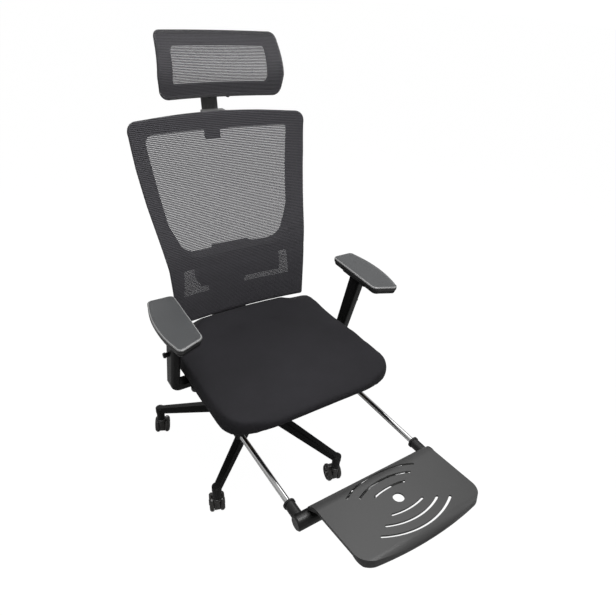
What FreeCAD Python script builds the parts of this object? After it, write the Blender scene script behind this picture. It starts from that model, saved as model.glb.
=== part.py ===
import FreeCAD, Part
import math
import os

# Reclining office chair with a slide-out footrest, in millimetres.
# Origin: on the floor under the gas lift. The sitter faces -Y, +Z is up, and the sitter's right is -X.

# Star base
LEG_COUNT = 5
FIRST_LEG_ANGLE = 6.1
LEG_TIP_RADIUS = 316.0
LEG_TIP_TOP = 120.0
LEG_ROOT_TOP = 163.0
LEG_TIP_WIDTH = 28.0
LEG_ROOT_WIDTH = 46.0
LEG_TOP_SHARE = 0.62
LEG_TIP_HEIGHT = 20.0
LEG_ROOT_HEIGHT = 32.0
LEG_WALL = 3.5
HUB_TOP = 169.0
HUB_BOTTOM = 106.0
HUB_RADIUS = 36.0
SOCKET_RADIUS = 12.5
SOCKET_BOTTOM = 69.0

# Casters
CASTER_AXLE_ANGLES = (-30.0, -40.0, -24.0, -18.0, -12.0)
WHEEL_RADIUS = 27.0
WHEEL_WIDTH = 14.0
WHEEL_GAP = 19.0
CASTER_TRAIL = 15.0
AXLE_RADIUS = 4.0
HOOD_WIDTH = 17.0
HOOD_TOP = 63.0
STEM_RADIUS = 5.5
STEM_REACH = 36.0
STEM_COLLAR_RADIUS = 10.0

# Gas lift
STAND_RADIUS = 25.0
STAND_WALL = 2.0
STAND_BOTTOM = 70.0
STAND_TOP = 266.0
BUSH_LENGTH = 58.0
LIFT_TUBE_RADIUS = 14.0
LIFT_TUBE_WALL = 1.6
LIFT_TUBE_BOTTOM = 128.0
LIFT_TUBE_TOP = 352.0
ROD_RADIUS = 5.0
COVER_WALL = 2.5
COVER_GAP = 1.0
LOWER_COVER_TOP = 268.0
UPPER_COVER_BOTTOM = 222.0

# Seat, in its own frame before it is tipped back about the point under the pan
SEAT_TIP = 4.0
PAN_UNDERSIDE = 385.0
PAN_THICKNESS = 12.0
PAN_HALF_WIDTH = 232.0
PAN_REAR = 98.0
PAN_FRONT = -285.0
PAN_CORNER = 55.0
BOLT_RADIUS = 3.0
CUSHION_HALF_WIDTH = 252.0
CUSHION_REAR = 112.0
CUSHION_FRONT = -370.0
CUSHION_TOP = 452.0
CUSHION_CROWN = 12.0
CUSHION_SIDE_BULGE = 7.0

# Tilt housing under the pan
HOUSING_HALF_WIDTH = 92.0
HOUSING_REAR = 112.0
HOUSING_FRONT = -122.0
HOUSING_HEIGHT = 46.0
HOUSING_WALL = 3.0
HOUSING_FLANGE = 16.0
SOCKET_FLANGE_RADIUS = 33.0
SOCKET_FLANGE_BOTTOM = 331.0
HINGE_Y = 96.0
HINGE_DROP = 28.0
HINGE_PIN_RADIUS = 6.0
KNOB_RADIUS = 22.0
LEVER_RADIUS = 4.5
LEVER_Y = -62.0
LEVER_DROP = 22.0
LEVER_OUT = 228.0

# Back, as a leaning profile of (height, front face) at the side edges
BACK_PROFILE = (
    (455.0, 82.0), (520.0, 87.0), (580.0, 93.0), (630.0, 100.0), (680.0, 114.0),
    (760.0, 149.0), (840.0, 180.0), (920.0, 203.0), (1030.0, 220.0),
)
BACK_REACH = 260.0
BACK_WRAP = 22.0
BACK_BOTTOM = 474.0
BACK_TOP = 1001.0
BACK_TOP_BOW = 16.0
BACK_SKIN = 9.0
BACK_RIB_TOP_DEPTH = 28.0
BACK_RIB_FOOT_DEPTH = 48.0
BACK_RIB_WIDTH = 9.0
MESH_THICKNESS = 1.2
LUMBAR_HALF_WIDTH = 128.0
LUMBAR_BOTTOM = 572.0
LUMBAR_TOP = 658.0

# Back support bar behind the back
BAR_HALF_WIDTH = 57.0
BAR_THICKNESS = 24.0
BAR_REAR = 219.0
BAR_SEAT_Y = 170.0

# Headrest
HEAD_PROFILE = (
    (1050.0, 208.0), (1085.0, 203.0), (1115.0, 199.5), (1145.0, 205.0), (1175.0, 220.0), (1215.0, 246.0),
)
HEAD_HALF_WIDTH = 167.0
HEAD_TOP_HALF_WIDTH = 159.0
HEAD_BOTTOM = 1058.0
HEAD_TOP = 1205.0
HEAD_CORNER = 22.0
HEAD_RIM = 33.0
HEAD_WRAP = 20.0
HEAD_SKIN = 17.0
HEAD_FRAME_INSET = 4.0
POST_HALF_WIDTH = 23.0
POST_THICKNESS = 10.0
POST_LEAN = 10.7
POST_BOTTOM = 934.0
POST_TOP = 1058.0
POST_BOTTOM_Y = 293.5
POST_FIT = 0.4
HEAD_PIN_RADIUS = 4.0
HEAD_KNUCKLE_RADIUS = 9.0
HEAD_ARM_GAP = 0.5
HEAD_ARM_THICKNESS = 6.0
BRACKET_FRONT = 268.0
BRACKET_REAR = 298.0
BRACKET_HALF_WIDTH = 33.0
BRACKET_BOTTOM = 962.0
BRACKET_TOP = 1011.0

# Arms
ARM_FACE = 265.0
ARM_THICKNESS = 26.0
ARM_LEAN = 12.4
ARM_TOP_Y = -91.0
ARM_TOP_DEPTH = 46.0
ARM_FOOT_DEPTH = 38.0
ARM_FOOT_INNER = 120.0
ARM_FOOT_THICKNESS = 14.0
ARM_SLEEVE_TOP = 606.0
ARM_POST_THICKNESS = 15.0
ARM_POST_DEPTH = 28.0
ARM_FIT = 0.4
PAD_TOP = 644.0
PAD_THICKNESS = 24.0
PAD_REAR = -5.0
PAD_FRONT = -226.0
PAD_INNER = 245.0
PAD_OUTER = 315.0
PAD_BOW = 14.0
BUTTON_RADIUS = 6.5
BUTTON_HEIGHT = 516.0
BUTTON_DEPTH = 1.9
BUTTON_REACH = 14.0

# Footrest, with the tubes below the pan and the plate turning about the elbow axis
TUBE_X = 183.0
TUBE_RADIUS = 7.25
TUBE_WALL = 1.5
TUBE_DROP = 52.0
TUBE_REAR = -148.0
ELBOW_Y = -554.0
COLLAR_Y = -502.0
SLEEVE_RADIUS = 12.5
COLLAR_RADIUS = 14.5
COLLAR_LENGTH = 5.0
BOSS_RADIUS = 18.0
BOSS_OUTER = 198.0
BOSS_INNER = 136.0
AXLE_TUBE_RADIUS = 10.0
PLATE_TILT = 9.2
PLATE_RISE = 50.0
PLATE_REAR = -8.0
PLATE_FRONT = 200.0
PLATE_HALF_WIDTH = 166.0
PLATE_WALL = 4.0
PLATE_LIP = 20.0
PLATE_SKIRT = 8.0
PLATE_BACK_LIP = 28.0
PLATE_CURL = 20.0
PLATE_REAR_CURL = 44.0
PLATE_HOLE_S = 98.0
PLATE_HOLE_RADIUS = 12.5
PLATE_BOW = 16.0
PLATE_SLOT_WIDTH = 5.5
# Each sound-wave slot: half width of its chord, offset of its ends and of its middle from the hole
PLATE_SLOTS = ((41.0, 28.0, 33.2), (69.5, 42.5, 58.2), (93.5, 57.0, 82.0))

RUN = 0.05


def vec(x, y, z):
    return FreeCAD.Vector(x, y, z)


def cylinder(radius, height, base, axis=(0, 0, 1)):
    return Part.makeCylinder(radius, height, vec(*base), vec(*axis))


def cone(r1, r2, height, base, axis=(0, 0, 1)):
    return Part.makeCone(r1, r2, height, vec(*base), vec(*axis))


def box(x0, x1, y0, y1, z0, z1):
    return Part.makeBox(x1 - x0, y1 - y0, z1 - z0, vec(x0, y0, z0))


def tube(outer, inner, height, base, axis=(0, 0, 1)):
    return cylinder(outer, height, base, axis).cut(cylinder(inner, height, base, axis))


def polygon(points):
    return Part.makePolygon(points + [points[0]])


def rounded(points, radius):
    """A closed wire through the points with each corner rounded; a point may give its own radius."""
    corners = []
    count = len(points)
    for i in range(count):
        here = points[i][0]
        own = points[i][1] if points[i][1] is not None else radius
        before = points[i - 1][0]
        after = points[(i + 1) % count][0]
        into = (before - here).normalize()
        out = (after - here).normalize()
        half = into.getAngle(out) / 2
        back = own / math.tan(half)
        centre = here + (into + out).normalize() * (own / math.sin(half))
        start = here + into * back
        end = here + out * back
        middle = centre + (here - centre).normalize() * own
        corners.append((start, middle, end))
    edges = []
    for i in range(count):
        start, middle, end = corners[i]
        edges.append(Part.Arc(start, middle, end).toShape())
        following = corners[(i + 1) % count][0]
        if (following - end).Length > 0.001:
            edges.append(Part.makeLine(end, following))
    return Part.Wire(edges)


def rounded_box(x0, x1, y0, y1, z0, z1, radius):
    wire = rounded([(vec(x, y, z0), None) for x, y in ((x0, y0), (x1, y0), (x1, y1), (x0, y1))], radius)
    return Part.Face(wire).extrude(vec(0, 0, z1 - z0))


def slanted(x0, x1, y0, y1, z0, z1, radius, lean):
    """A rounded bar whose cross-section stays level while it leans towards -Y as it rises."""
    height = z1 - z0
    wire = rounded([(vec(x, y, z0), None) for x, y in ((x0, y0), (x1, y0), (x1, y1), (x0, y1))], radius)
    return Part.Face(wire).extrude(vec(0, -height * math.tan(math.radians(lean)), height))


def tipped(shape):
    """Put a shape that was drawn level under the seat into the seat's tipped frame."""
    turned = shape.copy()
    turned.rotate(vec(0, 0, PAN_UNDERSIDE), vec(1, 0, 0), -SEAT_TIP)
    return turned


def mirrored(shape):
    return shape.mirror(vec(0, 0, 0), vec(1, 0, 0))


def fuse(shapes):
    joined = shapes[0].fuse(shapes[1:]) if len(shapes) > 1 else shapes[0]
    return joined.removeSplitter()


def group(shapes):
    return Part.makeCompound(shapes)


def save(name, shape):
    shape.exportStep("parts/" + name + ".step")


# Star base

def leg_section(x, width, height, top):
    narrow = width * LEG_TOP_SHARE
    low = top - height
    corners = ((-width / 2, low), (width / 2, low), (narrow / 2, top), (-narrow / 2, top))
    return rounded([(vec(x, y, z), None) for y, z in corners], width * 0.12)


def leg_shape(inset):
    root = HUB_RADIUS * 0.5
    sections = [
        leg_section(root, LEG_ROOT_WIDTH - 2 * inset, LEG_ROOT_HEIGHT, LEG_ROOT_TOP - inset),
        leg_section(LEG_TIP_RADIUS, LEG_TIP_WIDTH - 2 * inset, LEG_TIP_HEIGHT, LEG_TIP_TOP - inset),
    ]
    return Part.makeLoft(sections, True, True)


def star_leg():
    outer = leg_shape(0.0)
    hollow = leg_shape(LEG_WALL)
    hollow.translate(vec(0, 0, -LEG_WALL))
    channel = hollow.common(box(HUB_RADIUS + 8, LEG_TIP_RADIUS - SOCKET_RADIUS - 8, -60, 60, 0, 200))
    leg = outer.cut(channel)
    ribs = []
    for share in (0.3, 0.5, 0.7):
        x = LEG_TIP_RADIUS * share + 10
        ribs.append(outer.common(box(x - 1.5, x + 1.5, -60, 60, 0, 200)))
    tip_x = LEG_TIP_RADIUS
    end_cap = cylinder(LEG_TIP_WIDTH / 2, LEG_TIP_HEIGHT - 3, (tip_x, 0, LEG_TIP_TOP - LEG_TIP_HEIGHT))
    crown = cone(LEG_TIP_WIDTH / 2, LEG_TIP_WIDTH / 2 - 4, 3, (tip_x, 0, LEG_TIP_TOP - 3))
    socket = cylinder(SOCKET_RADIUS, LEG_TIP_TOP - 5 - SOCKET_BOTTOM, (tip_x, 0, SOCKET_BOTTOM))
    return fuse([leg] + ribs + [end_cap, crown, socket])


def leg_angle(index):
    return FIRST_LEG_ANGLE + index * 360.0 / LEG_COUNT


def stem_top():
    return SOCKET_BOTTOM + STEM_REACH


def star_base():
    pieces = [
        cone(HUB_RADIUS, HUB_RADIUS - 3, HUB_TOP - HUB_BOTTOM, (0, 0, HUB_BOTTOM)),
    ]
    for index in range(LEG_COUNT):
        leg = star_leg()
        leg.rotate(vec(0, 0, 0), vec(0, 0, 1), leg_angle(index))
        pieces.append(leg)
    base = fuse(pieces)
    base = base.cut(cylinder(STAND_RADIUS, HUB_TOP - HUB_BOTTOM + 60, (0, 0, HUB_BOTTOM - 30)))
    for index in range(LEG_COUNT):
        angle = math.radians(leg_angle(index))
        place = (LEG_TIP_RADIUS * math.cos(angle), LEG_TIP_RADIUS * math.sin(angle), SOCKET_BOTTOM)
        base = base.cut(cylinder(STEM_RADIUS + RUN, STEM_REACH + 2, place))
    return base


# Casters: drawn with the axle along Y and the stem on the Z axis, then turned and moved to the leg tip

def caster_hood():
    centre = (CASTER_TRAIL, -HOOD_WIDTH / 2, WHEEL_RADIUS)
    disc = cylinder(WHEEL_RADIUS - 3, HOOD_WIDTH, centre, (0, 1, 0))
    neck = rounded_box(-STEM_COLLAR_RADIUS, CASTER_TRAIL, -HOOD_WIDTH / 2, HOOD_WIDTH / 2, 22, HOOD_TOP - 4, 5)
    cap = cylinder(STEM_COLLAR_RADIUS + 1, 12, (0, 0, HOOD_TOP - 12))
    slope = Part.Face(polygon([
        vec(-STEM_COLLAR_RADIUS - 2, -20, HOOD_TOP + 1),
        vec(CASTER_TRAIL + 24, -20, 47),
        vec(CASTER_TRAIL + 24, -20, HOOD_TOP + 30),
        vec(-STEM_COLLAR_RADIUS - 2, -20, HOOD_TOP + 30),
    ])).extrude(vec(0, 40, 0))
    hood = fuse([disc, neck.cut(slope), cap])
    hood = hood.cut(cylinder(AXLE_RADIUS + RUN, 60, (CASTER_TRAIL, -30, WHEEL_RADIUS), (0, 1, 0)))
    return hood.cut(cylinder(STEM_RADIUS, HOOD_TOP, (0, 0, 34)))


def caster_stem():
    shaft = cylinder(STEM_RADIUS, stem_top() - 34, (0, 0, 34))
    collar = cylinder(STEM_COLLAR_RADIUS, 3, (0, 0, HOOD_TOP))
    groove = tube(STEM_RADIUS + 1, STEM_RADIUS - 0.8, 2.5, (0, 0, stem_top() - 9))
    return fuse([shaft, collar]).cut(groove)


def caster_axle():
    half = WHEEL_GAP / 2 + WHEEL_WIDTH - 2
    return cylinder(AXLE_RADIUS, 2 * half, (CASTER_TRAIL, -half, WHEEL_RADIUS), (0, 1, 0))


def wheel_profile():
    inner = WHEEL_GAP / 2
    outer = inner + WHEEL_WIDTH
    radius = WHEEL_RADIUS
    points = (
        (AXLE_RADIUS, inner), (radius - 2, inner), (radius, inner + 2.5), (radius, outer - 6),
        (radius - 4, outer - 1.5), (radius - 8, outer - 1.5), (radius - 9.5, outer - 4), (9, outer - 4),
        (8, outer), (0.01, outer), (0.01, outer - 2), (AXLE_RADIUS, outer - 2),
    )
    return Part.Face(polygon([vec(r, y, 0) for r, y in points]))


def caster_wheels():
    wheel = wheel_profile().revolve(vec(0, 0, 0), vec(0, 1, 0), 360)
    wheel.translate(vec(CASTER_TRAIL, 0, WHEEL_RADIUS))
    return group([wheel, wheel.mirror(vec(0, 0, 0), vec(0, 1, 0))])


def at_leg_tip(shape, index):
    placed = shape.copy()
    placed.rotate(vec(0, 0, 0), vec(0, 0, 1), CASTER_AXLE_ANGLES[index] + 90)
    angle = math.radians(leg_angle(index))
    placed.translate(vec(LEG_TIP_RADIUS * math.cos(angle), LEG_TIP_RADIUS * math.sin(angle), 0))
    return placed


# Gas lift

def stand_tube():
    wall = tube(STAND_RADIUS, STAND_RADIUS - STAND_WALL, STAND_TOP - STAND_BOTTOM, (0, 0, STAND_BOTTOM))
    floor = tube(STAND_RADIUS, ROD_RADIUS + RUN, 4, (0, 0, STAND_BOTTOM))
    return fuse([wall, floor])


def guide_bush():
    body = tube(STAND_RADIUS - STAND_WALL, LIFT_TUBE_RADIUS + RUN, BUSH_LENGTH, (0, 0, STAND_TOP - BUSH_LENGTH))
    return body


def piston_rod():
    rod = cylinder(ROD_RADIUS, 134, (0, 0, STAND_BOTTOM - 3))
    race = cylinder(ROD_RADIUS + 6, 3, (0, 0, STAND_BOTTOM + 4 + RUN))
    head = cylinder(LIFT_TUBE_RADIUS - LIFT_TUBE_WALL - RUN, 8, (0, 0, STAND_BOTTOM + 123))
    return fuse([rod, race, head])


def lift_tube():
    inner = LIFT_TUBE_RADIUS - LIFT_TUBE_WALL
    body = cylinder(LIFT_TUBE_RADIUS, LIFT_TUBE_TOP - LIFT_TUBE_BOTTOM, (0, 0, LIFT_TUBE_BOTTOM))
    bore = cylinder(inner, LIFT_TUBE_TOP - LIFT_TUBE_BOTTOM - 20, (0, 0, LIFT_TUBE_BOTTOM + 6))
    gland = cylinder(ROD_RADIUS + RUN, 20, (0, 0, LIFT_TUBE_BOTTOM - 6))
    valve = cylinder(4, 6, (0, 0, LIFT_TUBE_TOP))
    return fuse([body.cut(bore).cut(gland), valve])


def lower_cover():
    inner = STAND_RADIUS + COVER_GAP + COVER_WALL + COVER_GAP
    return tube(inner + COVER_WALL, inner, LOWER_COVER_TOP - HUB_TOP, (0, 0, HUB_TOP))


def upper_cover():
    inner = STAND_RADIUS + COVER_GAP
    return tube(inner + COVER_WALL, inner, SOCKET_FLANGE_BOTTOM - UPPER_COVER_BOTTOM, (0, 0, UPPER_COVER_BOTTOM))


# Tilt housing and what it carries, drawn level and then tipped

def hinge_z():
    return PAN_UNDERSIDE - HINGE_DROP


def lever_z():
    return PAN_UNDERSIDE - LEVER_DROP


def tilt_housing():
    low = PAN_UNDERSIDE - HOUSING_HEIGHT
    w = HOUSING_HALF_WIDTH
    tub = rounded_box(-w, w, HOUSING_FRONT, HOUSING_REAR, low, PAN_UNDERSIDE, 14)
    inside = rounded_box(-w + HOUSING_WALL, w - HOUSING_WALL, HOUSING_FRONT + HOUSING_WALL,
                         HOUSING_REAR + 30, low + HOUSING_WALL, PAN_UNDERSIDE, 11)
    tub = tub.cut(inside)
    notch = BAR_HALF_WIDTH + 3
    tub = tub.cut(box(-notch, notch, HINGE_Y - 10, HOUSING_REAR + 1, low - 1, low + HOUSING_WALL + 1))
    flange = rounded_box(-w - HOUSING_FLANGE, w + HOUSING_FLANGE, HOUSING_FRONT, HOUSING_REAR - 30,
                         PAN_UNDERSIDE - HOUSING_WALL, PAN_UNDERSIDE, 10)
    flange = flange.cut(box(-w + 1, w - 1, HOUSING_FRONT + 1, HOUSING_REAR, 0, PAN_UNDERSIDE + 1))
    flange = flange.cut(box(-w - 40, w + 40, HOUSING_FRONT + 46, HOUSING_REAR - 76, 0, PAN_UNDERSIDE + 1))
    for x, y in seat_bolt_places():
        flange = flange.cut(cylinder(BOLT_RADIUS, 30, (x, y, PAN_UNDERSIDE - 20)))
    nose = rounded_box(-24, 24, HOUSING_FRONT - 26, HOUSING_FRONT + 4, low + 4, PAN_UNDERSIDE - 6, 8)
    tub = tipped(fuse([tub, flange, nose]))
    socket = cylinder(LIFT_TUBE_RADIUS + 7, 40, (0, 0, SOCKET_FLANGE_BOTTOM))
    plate = cylinder(SOCKET_FLANGE_RADIUS, 12, (0, 0, SOCKET_FLANGE_BOTTOM))
    housing = fuse([tub, socket, plate])
    housing = housing.cut(cylinder(LIFT_TUBE_RADIUS, 80, (0, 0, SOCKET_FLANGE_BOTTOM - 10)))
    pin = cylinder(HINGE_PIN_RADIUS, 4 * w, (-2 * w, HINGE_Y, hinge_z()), (1, 0, 0))
    levers = cylinder(LEVER_RADIUS + RUN, 4 * w, (-2 * w, LEVER_Y, lever_z()), (1, 0, 0))
    screw = cylinder(5 + RUN, 60, (0, HOUSING_FRONT - 40, knob_z()), (0, 1, 0))
    return housing.cut(tipped(pin)).cut(tipped(levers)).cut(tipped(screw))


def knob_z():
    return PAN_UNDERSIDE - 26


def recline_pin():
    half = HOUSING_HALF_WIDTH + 4
    pin = cylinder(HINGE_PIN_RADIUS, 2 * half, (-half, HINGE_Y, hinge_z()), (1, 0, 0))
    heads = [cylinder(HINGE_PIN_RADIUS + 3, 4, (x, HINGE_Y, hinge_z()), (1, 0, 0)) for x in (-half, half - 4)]
    return tipped(fuse([pin] + heads))


def lever(side):
    """A bent steel rod through the housing wall, with a moulded paddle on its end."""
    inner = HOUSING_HALF_WIDTH - 24
    rod = cylinder(LEVER_RADIUS, LEVER_OUT - 34 - inner, (inner, LEVER_Y, lever_z()), (1, 0, 0))
    stop = tube(LEVER_RADIUS + 4, LEVER_RADIUS, 5, (HOUSING_HALF_WIDTH + 0.5, LEVER_Y, lever_z()), (1, 0, 0))
    outline = rounded([
        (vec(LEVER_OUT - 52, LEVER_Y - 10, 0), 6), (vec(LEVER_OUT + 8, LEVER_Y - 15, 0), 12),
        (vec(LEVER_OUT + 8, LEVER_Y + 15, 0), 12), (vec(LEVER_OUT - 52, LEVER_Y + 10, 0), 6),
    ], 6)
    paddle = Part.Face(outline).extrude(vec(0, 0, 11))
    paddle.translate(vec(0, 0, lever_z() - 5.5))
    whole = tipped(fuse([rod, stop, paddle]))
    return whole if side > 0 else mirrored(whole)


def tension_knob():
    front = HOUSING_FRONT - 26
    shaft = cylinder(5, 40, (0, front - 6, knob_z()), (0, 1, 0))
    grip = cylinder(KNOB_RADIUS, 26, (0, front - 30, knob_z()), (0, 1, 0))
    cap = cone(KNOB_RADIUS - 5, KNOB_RADIUS, 4, (0, front - 34, knob_z()), (0, 1, 0))
    knob = fuse([grip, cap])
    for step in range(12):
        angle = step * math.pi / 6
        x = (KNOB_RADIUS + 1.2) * math.cos(angle)
        z = knob_z() + (KNOB_RADIUS + 1.2) * math.sin(angle)
        knob = knob.cut(cylinder(3, 40, (x, front - 36, z), (0, 1, 0)))
    return tipped(fuse([knob, shaft]))


# Seat pan and cushion

def pan_board():
    w = PAN_HALF_WIDTH
    return rounded_box(-w, w, PAN_FRONT, PAN_REAR, PAN_UNDERSIDE, PAN_UNDERSIDE + PAN_THICKNESS, PAN_CORNER)


def seat_pan():
    board = pan_board()
    for x, y in seat_bolt_places():
        board = board.cut(cylinder(BOLT_RADIUS, 30, (x, y, PAN_UNDERSIDE - 1)))
    return tipped(board)


def seat_bolt_places():
    x = HOUSING_HALF_WIDTH + HOUSING_FLANGE / 2
    return [(sx * x, y) for sx in (-1, 1) for y in (HOUSING_FRONT + 22, HOUSING_REAR - 52)]


def seat_bolts():
    bolts = []
    for x, y in seat_bolt_places():
        head = cylinder(6.5, 5, (x, y, PAN_UNDERSIDE - HOUSING_WALL - 5))
        shank = cylinder(BOLT_RADIUS, HOUSING_WALL + PAN_THICKNESS, (x, y, PAN_UNDERSIDE - HOUSING_WALL))
        bolts.append(tipped(fuse([head, shank])))
    return group(bolts)


def cushion_section(y, half_width, low, high, crown):
    """A closed section: flat under side, drawn-in bulging sides and a crowned top."""
    bulge = CUSHION_SIDE_BULGE
    middle = (low + high) / 2
    left_low = vec(-half_width + bulge, y, low)
    right_low = vec(half_width - bulge, y, low)
    right_high = vec(half_width - bulge, y, high)
    left_high = vec(-half_width + bulge, y, high)
    edges = [
        Part.makeLine(left_low, right_low),
        Part.Arc(right_low, vec(half_width, y, middle), right_high).toShape(),
        Part.Arc(right_high, vec(0, y, high + crown), left_high).toShape(),
        Part.Arc(left_high, vec(-half_width, y, middle), left_low).toShape(),
    ]
    return Part.Wire(edges)


def seat_cushion():
    w = CUSHION_HALF_WIDTH
    low = PAN_UNDERSIDE + PAN_THICKNESS
    top = CUSHION_TOP
    rear = CUSHION_REAR
    front = CUSHION_FRONT
    crown = CUSHION_CROWN
    sections = [
        cushion_section(rear, w - 34, low + 12, top - 12, crown * 0.9),
        cushion_section(rear - 7, w - 18, low + 4, top - 5, crown),
        cushion_section(rear - 30, w - 6, low, top, crown),
        cushion_section(rear - 112, w, low, top, crown),
        cushion_section(front + 220, w + 2, low, top, crown),
        cushion_section(front + 115, w - 2, low, top + 2, crown * 0.8),
        cushion_section(front + 75, w - 9, low + 2, top + 3, crown * 0.6),
        cushion_section(front + 45, w - 26, low + 8, top + 2, crown * 0.5),
        cushion_section(front + 25, w - 52, low + 14, top - 1, crown * 0.4),
        cushion_section(front + 10, w - 88, low + 21, top - 6, crown * 0.3),
        cushion_section(front, w - 132, low + 29, top - 13, crown * 0.2),
    ]
    return tipped(Part.makeLoft(sections, True, False).cut(pan_board()))


# Footrest

def tube_z():
    return PAN_UNDERSIDE - TUBE_DROP


RAIL_BLOCKS = ((-262.0, -236.0), (-176.0, -150.0))


def footrest_rail():
    """A strip under the pan with two blocks that the tube slides through."""
    half = 17.0
    strip = rounded_box(TUBE_X - half, TUBE_X + half, RAIL_BLOCKS[0][0], RAIL_BLOCKS[1][1] + 12,
                        PAN_UNDERSIDE - 6, PAN_UNDERSIDE, 5)
    blocks = []
    for y0, y1 in RAIL_BLOCKS:
        blocks.append(box(TUBE_X - half + 2, TUBE_X + half - 2, y0, y1, tube_z(), PAN_UNDERSIDE))
        blocks.append(cylinder(half - 2, y1 - y0, (TUBE_X, y0, tube_z()), (0, 1, 0)))
    rail = fuse([strip] + blocks)
    bore = cylinder(TUBE_RADIUS + RUN, 400, (TUBE_X, -400, tube_z()), (0, 1, 0))
    return tipped(rail.cut(bore))


def footrest_tube():
    length = TUBE_REAR - (COLLAR_Y - 26)
    base = (TUBE_X, TUBE_REAR - length, tube_z())
    return tipped(tube(TUBE_RADIUS, TUBE_RADIUS - TUBE_WALL, length, base, (0, 1, 0)))


def footrest_elbow():
    """Moulded corner: a collar and sleeve on the tube, and a round boss across to the plate."""
    z = tube_z()
    sleeve = cylinder(SLEEVE_RADIUS, COLLAR_Y - ELBOW_Y, (TUBE_X, ELBOW_Y, z), (0, 1, 0))
    collar = cylinder(COLLAR_RADIUS, COLLAR_LENGTH, (TUBE_X, COLLAR_Y - COLLAR_LENGTH, z), (0, 1, 0))
    boss = cylinder(BOSS_RADIUS, BOSS_OUTER - BOSS_INNER - 3, (BOSS_INNER, ELBOW_Y, z), (1, 0, 0))
    cap = cone(BOSS_RADIUS, BOSS_RADIUS - 3, 3, (BOSS_OUTER - 3, ELBOW_Y, z), (1, 0, 0))
    elbow = fuse([sleeve, collar, boss, cap])
    socket = cylinder(TUBE_RADIUS, 60, (TUBE_X, COLLAR_Y - 26, z), (0, 1, 0))
    axle = cylinder(AXLE_TUBE_RADIUS, TUBE_X + 4, (0, ELBOW_Y, z), (1, 0, 0))
    return tipped(elbow.cut(socket).cut(axle))


def footrest_axle():
    half = TUBE_X + 4
    base = (-half, ELBOW_Y, tube_z())
    return tipped(tube(AXLE_TUBE_RADIUS, AXLE_TUBE_RADIUS - 2, 2 * half, base, (1, 0, 0)))


def hinge_axis_point():
    """The elbow axis in the chair's frame, after the seat frame is tipped back."""
    turn = math.radians(SEAT_TIP)
    y = ELBOW_Y * math.cos(turn) - TUBE_DROP * math.sin(turn)
    z = PAN_UNDERSIDE - ELBOW_Y * math.sin(turn) - TUBE_DROP * math.cos(turn)
    return y, z


def plate_profile(grow):
    """Side outline of the plate in its own frame: s forward from the hinge, height above it."""
    rear = -PLATE_REAR + grow
    front = -PLATE_FRONT - grow
    top = PLATE_RISE + grow
    curl = PLATE_CURL + grow
    points = [
        (vec(0, rear, top - 90), 0.5), (vec(0, rear, top), PLATE_REAR_CURL + grow),
        (vec(0, front, top), curl), (vec(0, front, top - 90), 0.5),
    ]
    return rounded(points, curl)


def plate_outline(grow):
    """The plate seen from above, with a bowed front edge and rounded corners."""
    w = PLATE_HALF_WIDTH + grow
    rear = -PLATE_REAR + grow
    front = -PLATE_FRONT - grow
    bow = PLATE_BOW
    corner = 30.0
    side = w - 4
    left = [
        Part.makeLine(vec(-side, front + bow + corner, 0), vec(-w, rear - 10, 0)),
        Part.Arc(vec(-w, rear - 10, 0), vec(-w + 3, rear - 3, 0), vec(-w + 10, rear, 0)).toShape(),
    ]
    right = [
        Part.Arc(vec(w - 10, rear, 0), vec(w - 3, rear - 3, 0), vec(w, rear - 10, 0)).toShape(),
        Part.makeLine(vec(w, rear - 10, 0), vec(side, front + bow + corner, 0)),
    ]
    inner = side - corner
    corner_right = Part.Arc(vec(side, front + bow + corner, 0), vec(side - 8, front + bow + 8, 0),
                            vec(inner, front + bow * 0.66, 0)).toShape()
    corner_left = Part.Arc(vec(-inner, front + bow * 0.66, 0), vec(-side + 8, front + bow + 8, 0),
                           vec(-side, front + bow + corner, 0)).toShape()
    bowed = Part.Arc(vec(inner, front + bow * 0.66, 0), vec(0, front, 0), vec(-inner, front + bow * 0.66, 0)).toShape()
    across = Part.makeLine(vec(-w + 10, rear, 0), vec(w - 10, rear, 0))
    wire = Part.Wire([across] + right + [corner_right, bowed, corner_left] + left)
    solid = Part.Face(wire).extrude(vec(0, 0, 200))
    solid.translate(vec(0, 0, -100))
    return solid


def plate_block(grow):
    side_view = Part.Face(plate_profile(grow)).extrude(vec(400, 0, 0))
    side_view.translate(vec(-200, 0, 0))
    return side_view.common(plate_outline(grow))


def plate_underside():
    """Everything below the edge of the plate: short at the sides, deeper along the front and the hinge."""
    rear = -PLATE_REAR
    top = PLATE_RISE
    front = -PLATE_FRONT
    points = [
        vec(-200, rear + 40, top - PLATE_BACK_LIP), vec(-200, rear - 8, top - PLATE_BACK_LIP),
        vec(-200, rear - 42, top - PLATE_SKIRT), vec(-200, front + 48, top - PLATE_SKIRT),
        vec(-200, front + 24, top - PLATE_LIP), vec(-200, front - 40, top - PLATE_LIP),
        vec(-200, front - 40, top - 150), vec(-200, rear + 40, top - 150),
    ]
    return Part.Face(polygon(points)).extrude(vec(400, 0, 0))


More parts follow.
